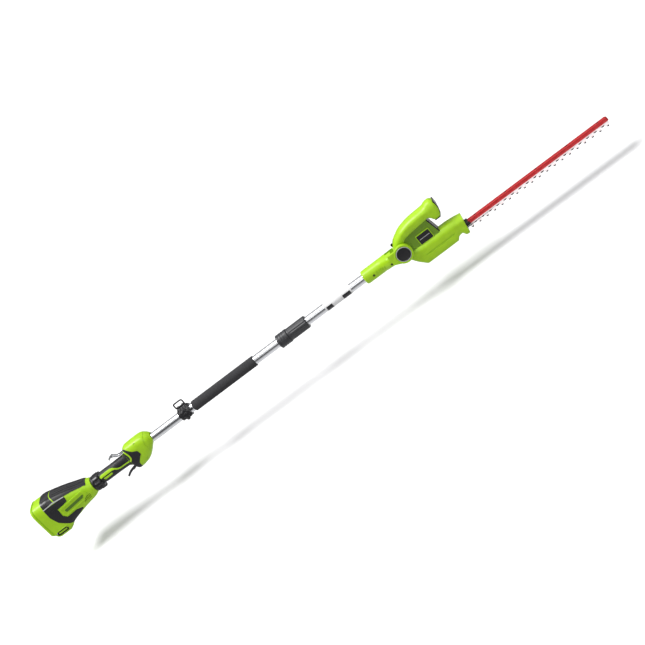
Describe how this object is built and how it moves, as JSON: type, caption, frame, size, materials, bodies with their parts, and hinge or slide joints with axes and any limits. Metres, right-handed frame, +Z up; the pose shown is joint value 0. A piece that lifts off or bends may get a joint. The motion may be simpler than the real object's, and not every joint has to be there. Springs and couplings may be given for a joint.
{
  "type": "pole hedge trimmer",
  "caption": "Battery pole hedge trimmer with a two-piece aluminium pole, foam grip, tilting motor head and a long double-sided reciprocating blade.",
  "frame": {"origin": "centre of the battery bay's mouth, on the pole's axis, in the plane of the housing's rear rim", "axes": "+X along the pole from the battery housing to the blade, +Z up (away from the trigger), +Y to the tool's left"},
  "size_m": [2.113, 0.089, 0.157],
  "materials": {
    "green_shell": "satin moulded",
    "black_overmould": "soft matte",
    "black_plastic": "fine grain",
    "grey_plastic": "fine grain",
    "tube_aluminium": "polished",
    "foam": "closed-cell foam",
    "steel": "ground",
    "blade_steel": "ground, dark tips",
    "red_bar": "gloss powder coat",
    "lever_chrome": "polished",
    "cast_aluminium": "as cast",
    "brass": "bright",
    "copper": "enamelled wire",
    "circuit_board": "solder mask",
    "cable": "smooth",
    "label": "printed film"
  },
  "bodies": {
    "handle_frame": {"rear_shell_left": "green_shell", "rear_shell_right": "green_shell", "top_cover": "black_overmould", "side_grips": "black_overmould", "side_panels": "green_shell", "battery_bulkhead": "black_plastic", "battery_contacts": "brass", "control_board": "circuit_board", "shell_screws": "steel", "handle_collar": "black_plastic", "handle_shell_left": "green_shell", "handle_shell_right": "green_shell", "handle_overmould": "black_overmould", "lever_pins": "steel", "lever_springs": "steel", "power_switch": "black_plastic", "lower_tube": "tube_aluminium", "lower_cable": "cable", "pole_socket": "black_plastic", "foam_grip": "foam", "coupler_body": "grey_plastic"},
    "battery_latch": {"battery_latch": "black_plastic"},
    "trigger": {"trigger": "grey_plastic"},
    "lock_lever": {"lock_lever": "lever_chrome"},
    "harness_clamp": {"clamp_band": "black_plastic"},
    "harness_loop": {"harness_loop": "steel"},
    "clamp_knob": {"clamp_knob": "black_plastic"},
    "coupler_nut": {"coupler_nut": "grey_plastic"},
    "upper_pole": {"upper_tube": "tube_aluminium", "pole_plug": "black_plastic", "upper_cable": "cable", "blank_label": "label", "neck_shell_left": "green_shell", "neck_shell_right": "green_shell", "neck_screws": "steel", "pivot_bolt": "steel", "pivot_caps": "black_plastic", "detent_wheel": "steel"},
    "head": {"head_shell_left": "green_shell", "head_shell_right": "green_shell", "head_screws": "steel", "hook_pad": "black_overmould", "front_vent": "black_plastic", "blank_plates": "black_plastic", "tilt_lever_pin": "steel", "motor_can": "steel", "gear_case": "cast_aluminium", "gear_case_base": "cast_aluminium", "bearings": "steel", "blade_bar": "red_bar", "blade_bolts": "steel", "blade_gate": "black_plastic"},
    "tilt_lever": {"tilt_lever": "black_plastic"},
    "motor_rotor": {"armature": "copper", "pinion": "steel"},
    "crank": {"crank_gear": "steel", "crank_shaft": "steel"},
    "upper_blade": {"upper_blade": "blade_steel"},
    "lower_blade": {"lower_blade": "blade_steel"}
  },
  "joints": [
    {"name": "battery_latch_press", "type": "slide", "parent": "handle_frame", "child": "battery_latch", "axis": [0, 1, 0], "range_m": [0, 0.004], "stiffness_N_per_m": 400, "springref_m": -0.002},
    {"name": "trigger_pull", "type": "hinge", "parent": "handle_frame", "child": "trigger", "pos_m": [0.374, 0, -0.032], "axis": [0, 1, 0], "range_deg": [0, 10], "stiffness_Nm_per_rad": 0.6, "springref_deg": -5.73},
    {"name": "lock_lever_press", "type": "hinge", "parent": "handle_frame", "child": "lock_lever", "pos_m": [0.374, 0, 0.024], "axis": [0, -1, 0], "range_deg": [0, 4], "stiffness_Nm_per_rad": 0.6, "springref_deg": -5.73},
    {"name": "clamp_slide", "type": "slide", "parent": "handle_frame", "child": "harness_clamp", "axis": [1, 0, 0], "range_m": [-0.1, 0.006]},
    {"name": "loop_swing", "type": "hinge", "parent": "harness_clamp", "child": "harness_loop", "pos_m": [0.589, 0, 0.027], "axis": [1, 0, 0], "range_deg": [-75, 75]},
    {"name": "clamp_knob_turn", "type": "hinge", "parent": "harness_clamp", "child": "clamp_knob", "pos_m": [0.596, 0, 0], "axis": [0, -0.9848, 0.1736], "continuous": true},
    {"name": "coupler_turn", "type": "hinge", "parent": "handle_frame", "child": "coupler_nut", "pos_m": [1.03, 0, 0], "axis": [1, 0, 0], "continuous": true},
    {"name": "upper_pole_pull", "type": "slide", "parent": "handle_frame", "child": "upper_pole", "axis": [1, 0, 0], "range_m": [0, 0.03]},
    {"name": "head_tilt", "type": "hinge", "parent": "upper_pole", "child": "head", "pos_m": [1.42, 0, 0], "axis": [0, 1, 0], "range_deg": [-45, 90]},
    {"name": "tilt_lever_lift", "type": "hinge", "parent": "head", "child": "tilt_lever", "pos_m": [1.433, 0, 0.027], "axis": [0, 1, 0], "range_deg": [0, 8], "stiffness_Nm_per_rad": 0.4, "springref_deg": -5.73},
    {"name": "crank_turn", "type": "hinge", "parent": "head", "child": "crank", "pos_m": [1.5225, 0, -0.05], "axis": [0, 0, 1], "range_deg": [-90.2, 90.2]},
    {"name": "rotor_turn", "type": "hinge", "parent": "head", "child": "motor_rotor", "pos_m": [1.5, 0, -0.02], "axis": [0, 0, 1], "range_deg": [-361, 361]},
    {"name": "upper_blade_slide", "type": "slide", "parent": "head", "child": "upper_blade", "axis": [1, 0, 0], "range_m": [-0.0066, 0.0066]},
    {"name": "lower_blade_slide", "type": "slide", "parent": "head", "child": "lower_blade", "axis": [1, 0, 0], "range_m": [-0.00658, 0.00658]}
  ],
  "couplings": [
    {"joint": "crank_turn", "follows": "lower_blade_slide", "rad_per_m": 238.9},
    {"joint": "rotor_turn", "follows": "lower_blade_slide", "rad_per_m": -955.62},
    {"joint": "upper_blade_slide", "follows": "lower_blade_slide", "ratio": -1}
  ]
}
